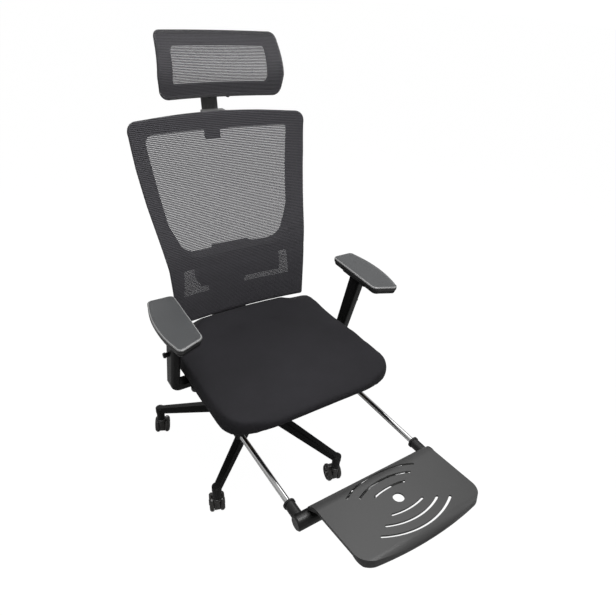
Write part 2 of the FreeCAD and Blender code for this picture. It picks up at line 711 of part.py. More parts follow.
def arc_slot(half, ends, middle, forward):
    """A curved slot of constant width, symmetric about the plate's centre line."""
    sign = -1 if forward else 1
    rise = middle - ends
    radius = (half * half + rise * rise) / (2 * rise)
    centre_y = -PLATE_HOLE_S + sign * (middle - radius)
    spread = math.asin(half / radius)
    ring = tube(radius + PLATE_SLOT_WIDTH / 2, radius - PLATE_SLOT_WIDTH / 2, 60, (0, centre_y, PLATE_RISE - 30))
    reach = 3 * radius
    left = vec(-reach * math.sin(spread), centre_y + sign * reach * math.cos(spread), PLATE_RISE - 30)
    right = vec(reach * math.sin(spread), centre_y + sign * reach * math.cos(spread), PLATE_RISE - 30)
    wedge = Part.Face(polygon([vec(0, centre_y, PLATE_RISE - 30), left, right])).extrude(vec(0, 0, 60))
    caps = [cylinder(PLATE_SLOT_WIDTH / 2, 60, (x, -PLATE_HOLE_S + sign * ends, PLATE_RISE - 30))
            for x in (-half, half)]
    return fuse([ring.common(wedge)] + caps)


def plate_ribs():
    """Webs under the plate that carry it on the cross axle."""
    inside = plate_block(0.5 - PLATE_WALL)
    ribs = []
    for x in (-112.0, -38.0, 38.0, 112.0):
        ring = cylinder(AXLE_TUBE_RADIUS + 6, 9, (x - 4.5, 0, 0), (1, 0, 0))
        web = Part.Face(polygon([
            vec(x - 3, 14, 2), vec(x - 3, 14, PLATE_RISE), vec(x - 3, -118, PLATE_RISE), vec(x - 3, -14, -3),
        ])).extrude(vec(6, 0, 0))
        ribs += [ring, web.common(inside)]
    return ribs


def footrest_plate():
    shell = plate_block(0.0).cut(plate_block(-PLATE_WALL)).cut(plate_underside())
    plate = fuse([shell] + plate_ribs())
    plate = plate.cut(cylinder(AXLE_TUBE_RADIUS + RUN, 400, (-200, 0, 0), (1, 0, 0)))
    plate = plate.cut(cylinder(PLATE_HOLE_RADIUS, 60, (0, -PLATE_HOLE_S, PLATE_RISE - 30)))
    for half, ends, middle in PLATE_SLOTS:
        plate = plate.cut(arc_slot(half, ends, middle, True))
        plate = plate.cut(arc_slot(half, ends, middle, False))
    plate.rotate(vec(0, 0, 0), vec(1, 0, 0), -PLATE_TILT)
    y, z = hinge_axis_point()
    plate.translate(vec(0, y, z))
    return plate


# Arms

def arm_middle_y(z):
    """Middle of the leaning sleeve at a height in the chair's frame."""
    return ARM_TOP_Y + (ARM_SLEEVE_TOP - z) * math.tan(math.radians(ARM_LEAN))


def arm_section(z, depth, inset, corner):
    y = arm_middle_y(z)
    x0 = ARM_FACE + inset
    x1 = ARM_FACE + ARM_THICKNESS - inset
    corners = ((x0, y - depth / 2), (x1, y - depth / 2), (x1, y + depth / 2), (x0, y + depth / 2))
    return rounded([(vec(x, yy, z), None) for x, yy in corners], corner)


def arm_column():
    """The leaning sleeve, a little deeper at its top than at its foot."""
    foot = PAN_UNDERSIDE - 30
    sections = [
        arm_section(foot, ARM_FOOT_DEPTH, 0.0, 7.0),
        arm_section(ARM_SLEEVE_TOP, ARM_TOP_DEPTH, 0.0, 7.0),
    ]
    return Part.makeLoft(sections, True, True)


def arm_bracket():
    """An L-shaped moulding: a foot under the pan and a leaning hollow sleeve beside the seat."""
    outer = ARM_FACE + ARM_THICKNESS
    low = PAN_UNDERSIDE - ARM_FOOT_THICKNESS
    middle = arm_middle_y(PAN_UNDERSIDE)
    half = ARM_FOOT_DEPTH / 2
    foot = rounded_box(ARM_FOOT_INNER, outer, middle - half, middle + half, low, PAN_UNDERSIDE, 7)
    side_view = rounded([
        (vec(ARM_FOOT_INNER - 20, 0, low), 4), (vec(outer, 0, low), 26), (vec(outer, 0, ARM_SLEEVE_TOP + 20), 1.5),
        (vec(ARM_FOOT_INNER - 20, 0, ARM_SLEEVE_TOP + 20), 1.5),
    ], 4)
    limits = Part.Face(side_view).extrude(vec(0, 400, 0))
    limits.translate(vec(0, -300, 0))
    bracket = fuse([tipped(foot), arm_column()]).common(tipped(limits))
    bracket = bracket.cut(arm_shaft(ARM_FIT, PAN_UNDERSIDE + 20, ARM_SLEEVE_TOP + 10))
    return bracket.cut(button_shape(RUN, ARM_THICKNESS / 2, ARM_THICKNESS))


def arm_shaft(clearance, z0, z1):
    """The sliding post's shaft, or with a clearance the sleeve's bore."""
    middle_x = ARM_FACE + ARM_THICKNESS / 2
    half_x = ARM_POST_THICKNESS / 2 + clearance
    half_y = ARM_POST_DEPTH / 2 + clearance
    y = arm_middle_y(z0)
    return slanted(middle_x - half_x, middle_x + half_x, y - half_y, y + half_y, z0, z1, 5, ARM_LEAN)


def arm_post():
    top = PAD_TOP - PAD_THICKNESS
    shaft = arm_shaft(0.0, PAN_UNDERSIDE + 24, top)
    y = arm_middle_y(top)
    x = ARM_FACE + ARM_THICKNESS / 2
    carrier = rounded_box(x - 20, x + 20, y - 58, y + 58, top - 8, top, 12)
    return fuse([shaft, carrier])


def pad_outline(grow):
    x0 = PAD_INNER - grow
    x1 = PAD_OUTER + grow
    y0 = PAD_FRONT - grow
    y1 = PAD_REAR + grow
    corner = 14.0
    start = vec(x0, y1 - corner, 0)
    edges = [
        Part.makeLine(vec(x0, y0 + corner + 22, 0), start),
        Part.Arc(start, vec(x0 + 4, y1 - 4, 0), vec(x0 + corner, y1, 0)).toShape(),
        Part.makeLine(vec(x0 + corner, y1, 0), vec(x1 - corner, y1, 0)),
        Part.Arc(vec(x1 - corner, y1, 0), vec(x1 - 3, y1 - 5, 0), vec(x1, y1 - corner, 0)).toShape(),
        Part.Arc(vec(x1, y1 - corner, 0), vec(x1 + PAD_BOW, (y0 + y1) / 2, 0), vec(x1, y0 + corner, 0)).toShape(),
        Part.Arc(vec(x1, y0 + corner, 0), vec(x1 - 4, y0 + 4, 0), vec(x1 - corner, y0, 0)).toShape(),
        Part.makeLine(vec(x1 - corner, y0, 0), vec(x0 + corner + 4, y0 + 16, 0)),
        Part.Arc(vec(x0 + corner + 4, y0 + 16, 0), vec(x0 + 5, y0 + 23, 0), vec(x0, y0 + corner + 22, 0)).toShape(),
    ]
    return Part.Wire(edges)


def arm_pad():
    """A pad with a slightly crowned top, rolled edges and an underside of smaller outline."""
    layers = []
    top = PAD_TOP
    low = PAD_TOP - PAD_THICKNESS
    for z, grow in ((low, -5.0), (low + 6, -0.5), (low + 14, 0.0), (top - 5, -1.0), (top, -6.0)):
        wire = pad_outline(grow)
        wire.translate(vec(0, 0, z))
        layers.append(wire)
    return Part.makeLoft(layers, True, True)


def button_shape(clearance, depth, length):
    """The height button's stem, starting at a depth inside the sleeve's outer face."""
    x = ARM_FACE + ARM_THICKNESS - depth
    return cylinder(BUTTON_RADIUS + clearance, length, (x, arm_middle_y(BUTTON_HEIGHT), BUTTON_HEIGHT), (1, 0, 0))


def arm_button():
    y = arm_middle_y(BUTTON_HEIGHT)
    reach = BUTTON_DEPTH + BUTTON_REACH
    face = ARM_FACE + ARM_THICKNESS + BUTTON_REACH
    rim = cone(BUTTON_RADIUS + 1.5, BUTTON_RADIUS, 5, (face - 5, y, BUTTON_HEIGHT), (1, 0, 0))
    return fuse([button_shape(0.0, BUTTON_DEPTH, reach), rim])


# Back

def crescent(z, front, half, wrap, depth):
    """A level section of a curved panel: the middle set back from the edges by the wrap."""
    a, b, c = vec(-half, front, z), vec(0, front + wrap, z), vec(half, front, z)
    down = vec(0, depth, 0)
    edges = [
        Part.Arc(a, b, c).toShape(),
        Part.makeLine(c, c + down),
        Part.Arc(c + down, b + down, a + down).toShape(),
        Part.makeLine(a + down, a),
    ]
    return Part.Wire(edges)


def curved_slab(profile, half, wrap, offset, depth):
    """A panel that follows the leaning profile, starting at an offset behind its front face."""
    sections = [crescent(z, front + offset, half, wrap, depth) for z, front in profile]
    return Part.makeLoft(sections, True, False)


def rib_slab():
    """The space behind the back's skin that its ribs fill, deeper towards the foot."""
    foot, top = BACK_PROFILE[0][0], BACK_PROFILE[-1][0]
    start = BACK_SKIN - 3
    sections = []
    for z, front in BACK_PROFILE:
        share = (z - foot) / (top - foot)
        depth = BACK_RIB_FOOT_DEPTH + (BACK_RIB_TOP_DEPTH - BACK_RIB_FOOT_DEPTH) * share - start
        sections.append(crescent(z, front + start, BACK_REACH, BACK_WRAP, depth))
    return Part.makeLoft(sections, True, False)


def prism(wire):
    """A front-view outline drawn at y = 0 carried through the whole depth of the back."""
    solid = Part.Face(wire).extrude(vec(0, 900, 0))
    solid.translate(vec(0, -200, 0))
    return solid


def back_outline(grow):
    """Front view of the back: straight foot, drawn-in waist, wide shoulders and a bowed top."""
    right = [(206.0, BACK_BOTTOM - grow), (209.0, 560.0), (212.0, 640.0), (223.0, 720.0),
             (236.0, 810.0), (246.0, 900.0), (251.5, 975.0 + grow)]
    side = [vec(x + grow, 0, z) for x, z in right]
    curve = Part.BSplineCurve()
    curve.interpolate(side)
    other = Part.BSplineCurve()
    other.interpolate([vec(-p.x, 0, p.z) for p in reversed(side)])
    shoulder = vec(232.0 + grow, 0, BACK_TOP + 6 + grow)
    crown = vec(0, 0, BACK_TOP + BACK_TOP_BOW + grow)
    bend = vec(247.0 + grow, 0, BACK_TOP - 3 + grow)
    edges = [
        curve.toShape(),
        Part.Arc(side[-1], bend, shoulder).toShape(),
        Part.Arc(shoulder, crown, vec(-shoulder.x, 0, shoulder.z)).toShape(),
        Part.Arc(vec(-shoulder.x, 0, shoulder.z), vec(-bend.x, 0, bend.z), vec(-side[-1].x, 0, side[-1].z)).toShape(),
        other.toShape(),
        Part.makeLine(vec(-side[0].x, 0, side[0].z), side[0]),
    ]
    return Part.Wire(edges)


def main_window(grow):
    """The tall upper window, wide at the shoulders and rounded at the waist."""
    g = grow
    corners = [
        (vec(-214 - g, 0, 974 + g), 20 + g), (vec(-191 - g, 0, 752), 90), (vec(-150 - g, 0, LUMBAR_TOP - g), 60 + g),
        (vec(150 + g, 0, LUMBAR_TOP - g), 60 + g), (vec(191 + g, 0, 752), 90), (vec(214 + g, 0, 974 + g), 20 + g),
    ]
    return rounded(corners, 20)


def lower_window(grow):
    """The window below the waist, a low U around the lumbar block."""
    g = grow
    inner = LUMBAR_HALF_WIDTH - g
    low = 527.0 - g
    top = 632.0 + g
    corners = [
        (vec(-184 - g, 0, low), 6 + g), (vec(184 + g, 0, low), 6 + g), (vec(172 + g, 0, top), 8 + g),
        (vec(inner, 0, top), 5), (vec(inner, 0, LUMBAR_BOTTOM + g), 8), (vec(-inner, 0, LUMBAR_BOTTOM + g), 8),
        (vec(-inner, 0, top), 5), (vec(-172 - g, 0, top), 8 + g),
    ]
    return rounded(corners, 6)


def back_slab(offset, depth):
    return curved_slab(BACK_PROFILE, BACK_REACH, BACK_WRAP, offset, depth)


def bar_seat():
    """The socket on the back of the lumbar block that the support bar is bolted to."""
    block = box(-BAR_HALF_WIDTH - 6, BAR_HALF_WIDTH + 6, 100, BAR_SEAT_Y, LUMBAR_BOTTOM + 20, LUMBAR_TOP)
    return block.common(back_slab(BACK_SKIN - 1, 120))


def back_frame():
    """A curved frame with ribs round its two windows, a bar seat and a landing for the headrest."""
    skin = prism(back_outline(0.0)).common(back_slab(0.0, BACK_SKIN))
    slab = rib_slab()
    ribs = [prism(shape(BACK_RIB_WIDTH)).common(slab) for shape in (main_window, lower_window)]
    frame = skin
    for piece in ribs + [bar_seat(), headrest_pad_block()]:
        frame = frame.fuse(piece)
    for shape in (main_window, lower_window):
        frame = frame.cut(prism(shape(0.0)))
    return frame


def headrest_pad_block():
    """A flat landing behind the top band for the headrest bracket."""
    block = box(-BRACKET_HALF_WIDTH, BRACKET_HALF_WIDTH, 200, BRACKET_FRONT, BRACKET_BOTTOM + 18, BRACKET_TOP - 4)
    return block.common(back_slab(BACK_SKIN - 1, 60))


def back_mesh():
    return prism(back_outline(0.6)).common(back_slab(-MESH_THICKNESS, MESH_THICKNESS))


def bar_path():
    """Side view of the support bar's middle line, from the hinge to the lumbar block."""
    turn = math.radians(SEAT_TIP)
    y = HINGE_Y * math.cos(turn) - HINGE_DROP * math.sin(turn)
    z = PAN_UNDERSIDE - HINGE_Y * math.sin(turn) - HINGE_DROP * math.cos(turn)
    return [(y, z), (y + 36, z - 2), (BAR_REAR - 22, 378.0), (BAR_REAR, 430.0), (BAR_REAR, 505.0),
            (BAR_SEAT_Y + BAR_THICKNESS / 2, 590.0), (BAR_SEAT_Y + BAR_THICKNESS / 2, LUMBAR_TOP - 2)]


def back_support_bar():
    """A flat bar, hinged under the seat, that runs out behind the back and up to the lumbar block."""
    half = BAR_THICKNESS / 2
    path = bar_path()
    front, rear = [], []
    for i, (y, z) in enumerate(path):
        y0, z0 = path[max(i - 1, 0)]
        y1, z1 = path[min(i + 1, len(path) - 1)]
        length = math.hypot(y1 - y0, z1 - z0)
        ny, nz = (z1 - z0) / length, -(y1 - y0) / length
        rear.append((vec(0, y + half * ny, z + half * nz), 16))
        front.append((vec(0, y - half * ny, z - half * nz), 16))
    for side in (front, rear):
        side[0] = (side[0][0], 4)
        side[-1] = (side[-1][0], 4)
    outline = rounded(rear + front[::-1], 4)
    w = BAR_HALF_WIDTH
    bar = Part.Face(outline).extrude(vec(2 * w, 0, 0))
    bar.translate(vec(-w, 0, 0))
    y, z = path[0]
    barrel = cylinder(HINGE_PIN_RADIUS + 7, 2 * w, (-w, y, z), (1, 0, 0))
    whole = fuse([bar, barrel])
    bore = cylinder(HINGE_PIN_RADIUS + RUN, 4 * w, (-2 * w, y, z), (1, 0, 0))
    return whole.cut(bore)


def back_bolts():
    bolts = []
    for x in (-26.0, 26.0):
        for z in (LUMBAR_BOTTOM + 38, LUMBAR_TOP - 16):
            bolts.append(cylinder(7, 5, (x, BAR_SEAT_Y + BAR_THICKNESS, z), (0, 1, 0)))
    return group(bolts)


# Headrest

def post_y(z):
    return POST_BOTTOM_Y + (z - POST_BOTTOM) * math.tan(math.radians(POST_LEAN))


def post_bar(grow, z0, z1):
    y = post_y(z0)
    half = POST_THICKNESS / 2 + grow
    w = POST_HALF_WIDTH + grow
    return slanted(-w, w, y - half, y + half, z0, z1, 3, -POST_LEAN)


def headrest_bracket():
    """The holder behind the back's top band: a block with a strap around the post."""
    w = BRACKET_HALF_WIDTH
    block = rounded_box(-w, w, BRACKET_FRONT, BRACKET_REAR, BRACKET_BOTTOM, BRACKET_TOP, 4)
    strap_rear = post_y(BRACKET_BOTTOM + 24) + POST_THICKNESS / 2 + 5
    strap = rounded_box(-w, w, BRACKET_FRONT + 10, strap_rear, BRACKET_BOTTOM, BRACKET_BOTTOM + 24, 4)
    return fuse([block, strap]).cut(post_bar(POST_FIT, POST_BOTTOM - 30, POST_TOP))


def head_pin_place():
    return post_y(POST_TOP), POST_TOP


def headrest_post():
    bar = post_bar(0.0, POST_BOTTOM, POST_TOP - 4)
    y, z = head_pin_place()
    knuckle = cylinder(HEAD_KNUCKLE_RADIUS, 2 * POST_HALF_WIDTH, (-POST_HALF_WIDTH, y, z), (1, 0, 0))
    post = fuse([bar, knuckle])
    groove_z = BRACKET_TOP - 4
    for x in (-15.0, -5.0, 5.0):
        groove = post_bar(4.0, groove_z, groove_z + 36).common(box(x, x + 6, 250, post_y(groove_z) - 2, 900, 1100))
        post = post.cut(groove)
    return post.cut(cylinder(HEAD_PIN_RADIUS, 60, (-30, y, z), (1, 0, 0)))


def headrest_pin():
    y, z = head_pin_place()
    half = POST_HALF_WIDTH + HEAD_ARM_GAP + HEAD_ARM_THICKNESS
    return cylinder(HEAD_PIN_RADIUS, 2 * half, (-half, y, z), (1, 0, 0))


def head_outline(grow):
    g = grow
    corners = [
        (vec(-HEAD_HALF_WIDTH + 3 - g, 0, HEAD_BOTTOM - g), HEAD_CORNER + g),
        (vec(HEAD_HALF_WIDTH - 3 + g, 0, HEAD_BOTTOM - g), HEAD_CORNER + g),
        (vec(HEAD_HALF_WIDTH + 3 + g, 0, 1112), 60),
        (vec(HEAD_TOP_HALF_WIDTH + g, 0, HEAD_TOP + g), HEAD_CORNER - 6 + g),
        (vec(-HEAD_TOP_HALF_WIDTH - g, 0, HEAD_TOP + g), HEAD_CORNER - 6 + g),
        (vec(-HEAD_HALF_WIDTH - 3 - g, 0, 1112), 60),
    ]
    return rounded(corners, HEAD_CORNER)


def head_slab(offset, depth):
    return curved_slab(HEAD_PROFILE, HEAD_HALF_WIDTH + 10, HEAD_WRAP, offset, depth)


def headrest_frame():
    """The rim behind the mesh, with two arms back to the tilt pin."""
    ring = prism(head_outline(-HEAD_FRAME_INSET)).common(head_slab(0.0, HEAD_SKIN))
    ring = ring.cut(prism(head_window()))
    y, z = head_pin_place()
    behind = head_slab(HEAD_SKIN - 2, 200)
    inner = POST_HALF_WIDTH + HEAD_ARM_GAP
    arms = []
    for x in (-inner - HEAD_ARM_THICKNESS, inner):
        bar = box(x, x + HEAD_ARM_THICKNESS, 200, y, z - 7, z + 9).common(behind)
        eye = cylinder(HEAD_KNUCKLE_RADIUS, HEAD_ARM_THICKNESS, (x, y, z), (1, 0, 0))
        arms.append(fuse([bar, eye]))
    plate = box(-34, 34, 200, 262, HEAD_BOTTOM + 5, HEAD_BOTTOM + HEAD_RIM - 5)
    plate = plate.common(head_slab(HEAD_SKIN - 2, 6))
    frame = fuse([ring, plate] + arms)
    return frame.cut(cylinder(HEAD_PIN_RADIUS + RUN, 80, (-40, y, z), (1, 0, 0)))


def head_window():
    inner = HEAD_HALF_WIDTH - HEAD_RIM
    corners = [
        (vec(-inner, 0, HEAD_BOTTOM + HEAD_RIM), 12), (vec(inner, 0, HEAD_BOTTOM + HEAD_RIM), 12),
        (vec(inner - 5, 0, HEAD_TOP - HEAD_RIM + 3), 12), (vec(-inner + 5, 0, HEAD_TOP - HEAD_RIM + 3), 12),
    ]
    return rounded(corners, 12)


def headrest_mesh():
    return prism(head_outline(0.5)).common(head_slab(-MESH_THICKNESS, MESH_THICKNESS))


def main():
    os.makedirs("parts", exist_ok=True)
    save("star_base", star_base())
    for index in range(LEG_COUNT):
        number = str(index + 1)
        save("caster_hood_" + number, at_leg_tip(caster_hood(), index))
        save("caster_stem_" + number, at_leg_tip(caster_stem(), index))
        save("caster_axle_" + number, at_leg_tip(caster_axle(), index))
        save("caster_wheels_" + number, at_leg_tip(caster_wheels(), index))
    save("lift_stand_tube", stand_tube())
    save("lift_guide_bush", guide_bush())
    save("lift_piston_rod", piston_rod())
    save("lift_pressure_tube", lift_tube())
    save("column_cover_lower", lower_cover())
    save("column_cover_upper", upper_cover())
    save("tilt_housing", tilt_housing())
    save("recline_pin", recline_pin())
    save("lift_lever", lever(-1))
    save("tilt_lever", lever(1))
    save("tension_knob", tension_knob())
    save("seat_pan", seat_pan())
    save("seat_bolts", seat_bolts())
    save("seat_cushion", seat_cushion())
    save("footrest_rail_left", footrest_rail())
    save("footrest_rail_right", mirrored(footrest_rail()))
    save("footrest_tube_left", footrest_tube())
    save("footrest_tube_right", mirrored(footrest_tube()))
    save("footrest_elbow_left", footrest_elbow())
    save("footrest_elbow_right", mirrored(footrest_elbow()))
    save("footrest_axle", footrest_axle())
    save("footrest_plate", footrest_plate())
    save("arm_bracket_left", arm_bracket())
    save("arm_bracket_right", mirrored(arm_bracket()))
    save("arm_post_left", arm_post())
    save("arm_post_right", mirrored(arm_post()))
    save("arm_pad_left", arm_pad())
    save("arm_pad_right", mirrored(arm_pad()))
    save("arm_button_left", arm_button())
    save("arm_button_right", mirrored(arm_button()))
    save("back_frame", back_frame())
    save("back_mesh", back_mesh())
    save("back_support_bar", back_support_bar())
    save("back_bolts", back_bolts())
    save("headrest_bracket", headrest_bracket())
    save("headrest_post", headrest_post())
    save("headrest_pin", headrest_pin())
    save("headrest_frame", headrest_frame())
    save("headrest_mesh", headrest_mesh())


main()
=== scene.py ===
import math

import bmesh
import bpy
from mathutils import Matrix, Vector
from mathutils.bvhtree import BVHTree


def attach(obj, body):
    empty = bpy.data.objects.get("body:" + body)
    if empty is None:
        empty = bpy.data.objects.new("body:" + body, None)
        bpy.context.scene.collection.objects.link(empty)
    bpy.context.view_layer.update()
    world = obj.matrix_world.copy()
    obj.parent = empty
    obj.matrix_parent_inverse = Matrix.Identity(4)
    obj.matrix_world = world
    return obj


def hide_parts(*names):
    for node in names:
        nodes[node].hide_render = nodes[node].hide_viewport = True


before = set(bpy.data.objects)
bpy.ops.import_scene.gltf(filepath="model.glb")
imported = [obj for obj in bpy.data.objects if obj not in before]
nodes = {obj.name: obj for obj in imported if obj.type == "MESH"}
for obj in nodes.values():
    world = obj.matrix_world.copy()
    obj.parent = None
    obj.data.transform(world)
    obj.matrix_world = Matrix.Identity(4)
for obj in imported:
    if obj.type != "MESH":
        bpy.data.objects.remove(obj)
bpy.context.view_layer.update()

MM = 0.001


# Small helpers

def mesh_object(name, bm, material):
    mesh = bpy.data.meshes.new(name)
    bm.to_mesh(mesh)
    bm.free()
    piece = bpy.data.objects.new(name, mesh)
    bpy.context.scene.collection.objects.link(piece)
    mesh.materials.append(material)
    return piece


def smooth(piece):
    for face in piece.data.polygons:
        face.use_smooth = True


def merged_copy(node):
    """The CAD node's mesh with its loose triangles joined."""
    bm = bmesh.new()
    bm.from_mesh(nodes[node].data)
    bmesh.ops.remove_doubles(bm, verts=bm.verts, dist=1e-5)
    return bm


def finish_modifiers(piece):
    """Apply every modifier, so that the piece's mesh is final."""
    graph = bpy.context.evaluated_depsgraph_get()
    mesh = bpy.data.meshes.new_from_object(piece.evaluated_get(graph))
    piece.modifiers.clear()
    piece.data = mesh


def add_modifier(piece, kind, **values):
    modifier = piece.modifiers.new(kind.lower(), kind)
    for key, value in values.items():
        setattr(modifier, key, value)
    return modifier


# Shared effects as node groups

def new_group(name, inputs, outputs):
    group = bpy.data.node_groups.new(name, "ShaderNodeTree")
    for label, kind, value in inputs:
        socket = group.interface.new_socket(label, in_out="INPUT", socket_type=kind)
        socket.default_value = value
    for label, kind in outputs:
        group.interface.new_socket(label, in_out="OUTPUT", socket_type=kind)
    return group, group.nodes.new("NodeGroupInput"), group.nodes.new("NodeGroupOutput")


def node(tree, kind, **values):
    made = tree.nodes.new(kind)
    for key, value in values.items():
        setattr(made, key, value)
    return made


def link(tree, source, target):
    tree.links.new(source, target)


def math_node(tree, operation, first, second=0.0, third=0.0):
    made = node(tree, "ShaderNodeMath", operation=operation)
    for socket, value in zip(made.inputs, (first, second, third)):
        if isinstance(value, (int, float)):
            socket.default_value = value
        else:
            link(tree, value, socket)
    return made.outputs[0]


def mix_colour(tree, factor, first, second):
    made = node(tree, "ShaderNodeMix", data_type="RGBA")
    for socket, value in ((made.inputs[0], factor), (made.inputs[6], first), (made.inputs[7], second)):
        if isinstance(value, (int, float, tuple)):
            socket.default_value = value
        else:
            link(tree, value, socket)
    return made.outputs[2]


def moulded_grain():
    """Fine grain of moulded plastic with slow changes of tone and gloss."""
    group, given, result = new_group(
        "moulded grain",
        [("Dark", "NodeSocketColor", (0, 0, 0, 1)), ("Light", "NodeSocketColor", (0, 0, 0, 1)),
         ("Roughness", "NodeSocketFloat", 0.5), ("Spread", "NodeSocketFloat", 0.1),
         ("Grain scale", "NodeSocketFloat", 900.0)],
        [("Color", "NodeSocketColor"), ("Roughness", "NodeSocketFloat"), ("Height", "NodeSocketFloat")])
    place = node(group, "ShaderNodeTexCoord")
    grain = node(group, "ShaderNodeTexVoronoi", feature="SMOOTH_F1")
    grain.inputs["Smoothness"].default_value = 0.6
    link(group, place.outputs["Object"], grain.inputs["Vector"])
    link(group, given.outputs["Grain scale"], grain.inputs["Scale"])
    slow = node(group, "ShaderNodeTexNoise")
    slow.inputs["Scale"].default_value = 14.0
    slow.inputs["Detail"].default_value = 4.0
    link(group, place.outputs["Object"], slow.inputs["Vector"])
    fine = node(group, "ShaderNodeTexNoise")
    fine.inputs["Scale"].default_value = 260.0
    link(group, place.outputs["Object"], fine.inputs["Vector"])
    tone = math_node(group, "MULTIPLY_ADD", fine.outputs["Fac"], 0.35, math_node(
        group, "MULTIPLY", slow.outputs["Fac"], 0.65))
    link(group, mix_colour(group, tone, given.outputs["Dark"], given.outputs["Light"]), result.inputs["Color"])
    shift = math_node(group, "SUBTRACT", tone, 0.5)
    rough = math_node(group, "MULTIPLY_ADD", shift, given.outputs["Spread"], given.outputs["Roughness"])
    link(group, rough, result.inputs["Roughness"])
    link(group, grain.outputs["Distance"], result.inputs["Height"])
    return group


def knitted_ribs():
    """Open mesh cloth: level ribs with staggered oval holes between them, from the piece's own UV in metres.

    Below the dense edge the knit is closer, as it is over the lumbar support.
    """
    group, given, result = new_group(
        "knitted ribs",
        [("Rib pitch", "NodeSocketFloat", 0.0045), ("Hole pitch", "NodeSocketFloat", 0.0034),
         ("Hole width", "NodeSocketFloat", 0.33), ("Hole height", "NodeSocketFloat", 0.24),
         ("Dense edge", "NodeSocketFloat", -1.0), ("Dense size", "NodeSocketFloat", 1.0),
         ("Thread", "NodeSocketColor", (0, 0, 0, 1)), ("Shade", "NodeSocketColor", (0, 0, 0, 1))],
        [("Color", "NodeSocketColor"), ("Alpha", "NodeSocketFloat"), ("Height", "NodeSocketFloat")])
    uv = node(group, "ShaderNodeUVMap", uv_map="cloth")
    parts = node(group, "ShaderNodeSeparateXYZ")
    link(group, uv.outputs["UV"], parts.inputs[0])
    rows = math_node(group, "DIVIDE", parts.outputs["Y"], given.outputs["Rib pitch"])
    row = math_node(group, "FLOOR", rows)
    up = math_node(group, "SUBTRACT", math_node(group, "SUBTRACT", rows, row), 0.5)
    stagger = math_node(group, "MULTIPLY", math_node(group, "MODULO", row, 2.0), 0.5)
    columns = math_node(group, "ADD", math_node(
        group, "DIVIDE", parts.outputs["X"], given.outputs["Hole pitch"]), stagger)
    across = math_node(group, "SUBTRACT", math_node(group, "SUBTRACT", columns, math_node(
        group, "FLOOR", columns)), 0.5)
    above = math_node(group, "GREATER_THAN", parts.outputs["Y"], given.outputs["Dense edge"])
    size = math_node(group, "MAXIMUM", above, given.outputs["Dense size"])
    wide = math_node(group, "DIVIDE", across, given.outputs["Hole width"])
    tall = math_node(group, "DIVIDE", up, given.outputs["Hole height"])
    reach = math_node(group, "ADD", math_node(group, "MULTIPLY", wide, wide), math_node(
        group, "MULTIPLY", tall, tall))
    edge = node(group, "ShaderNodeMapRange", interpolation_type="SMOOTHSTEP")
    edge.inputs["From Min"].default_value = 0.8
    edge.inputs["From Max"].default_value = 1.25
    open_reach = math_node(group, "DIVIDE", reach, math_node(group, "MULTIPLY", size, size))
    link(group, open_reach, edge.inputs["Value"])
    link(group, edge.outputs["Result"], result.inputs["Alpha"])
    height = node(group, "ShaderNodeMapRange", interpolation_type="SMOOTHSTEP")
    height.inputs["From Min"].default_value = 0.8
    height.inputs["From Max"].default_value = 4.0
    link(group, reach, height.inputs["Value"])
    link(group, height.outputs["Result"], result.inputs["Height"])
    strand = node(group, "ShaderNodeTexNoise")
    strand.inputs["Scale"].default_value = 700.0
    place = node(group, "ShaderNodeTexCoord")
    link(group, place.outputs["Object"], strand.inputs["Vector"])
    tone = math_node(group, "MULTIPLY", height.outputs["Result"], strand.outputs["Fac"])
    link(group, mix_colour(group, tone, given.outputs["Shade"], given.outputs["Thread"]), result.inputs["Color"])
    return group


def woven_cover():
    """Close plain weave of an upholstery cover, on Object coordinates."""
    group, given, result = new_group(
        "woven cover",
        [("Dark", "NodeSocketColor", (0, 0, 0, 1)), ("Light", "NodeSocketColor", (0, 0, 0, 1)),
         ("Threads", "NodeSocketFloat", 700.0)],
        [("Color", "NodeSocketColor"), ("Roughness", "NodeSocketFloat"), ("Height", "NodeSocketFloat")])
    place = node(group, "ShaderNodeTexCoord")
    parts = node(group, "ShaderNodeSeparateXYZ")
    link(group, place.outputs["Object"], parts.inputs[0])
    along = math_node(group, "SUBTRACT", parts.outputs["Y"], parts.outputs["Z"])
    warp = math_node(group, "SINE", math_node(group, "MULTIPLY", math_node(
        group, "MULTIPLY", parts.outputs["X"], given.outputs["Threads"]), math.tau))
    weft = math_node(group, "SINE", math_node(group, "MULTIPLY", math_node(
        group, "MULTIPLY", along, given.outputs["Threads"]), math.tau))
    woven = math_node(group, "MULTIPLY_ADD", math_node(group, "MULTIPLY", warp, weft), 0.5, 0.5)
    cloud = node(group, "ShaderNodeTexNoise")
    cloud.inputs["Scale"].default_value = 9.0
    cloud.inputs["Detail"].default_value = 5.0
    link(group, place.outputs["Object"], cloud.inputs["Vector"])
    fuzz = node(group, "ShaderNodeTexNoise")
    fuzz.inputs["Scale"].default_value = 1200.0
    link(group, place.outputs["Object"], fuzz.inputs["Vector"])
    tone = math_node(group, "ADD", math_node(group, "MULTIPLY", cloud.outputs["Fac"], 0.5), math_node(
        group, "MULTIPLY", math_node(group, "MULTIPLY", woven, fuzz.outputs["Fac"]), 0.6))
    link(group, mix_colour(group, tone, given.outputs["Dark"], given.outputs["Light"]), result.inputs["Color"])
    link(group, math_node(group, "MULTIPLY_ADD", cloud.outputs["Fac"], 0.12, 0.78), result.inputs["Roughness"])
    link(group, math_node(group, "MULTIPLY_ADD", fuzz.outputs["Fac"], 0.4, woven), result.inputs["Height"])
    return group


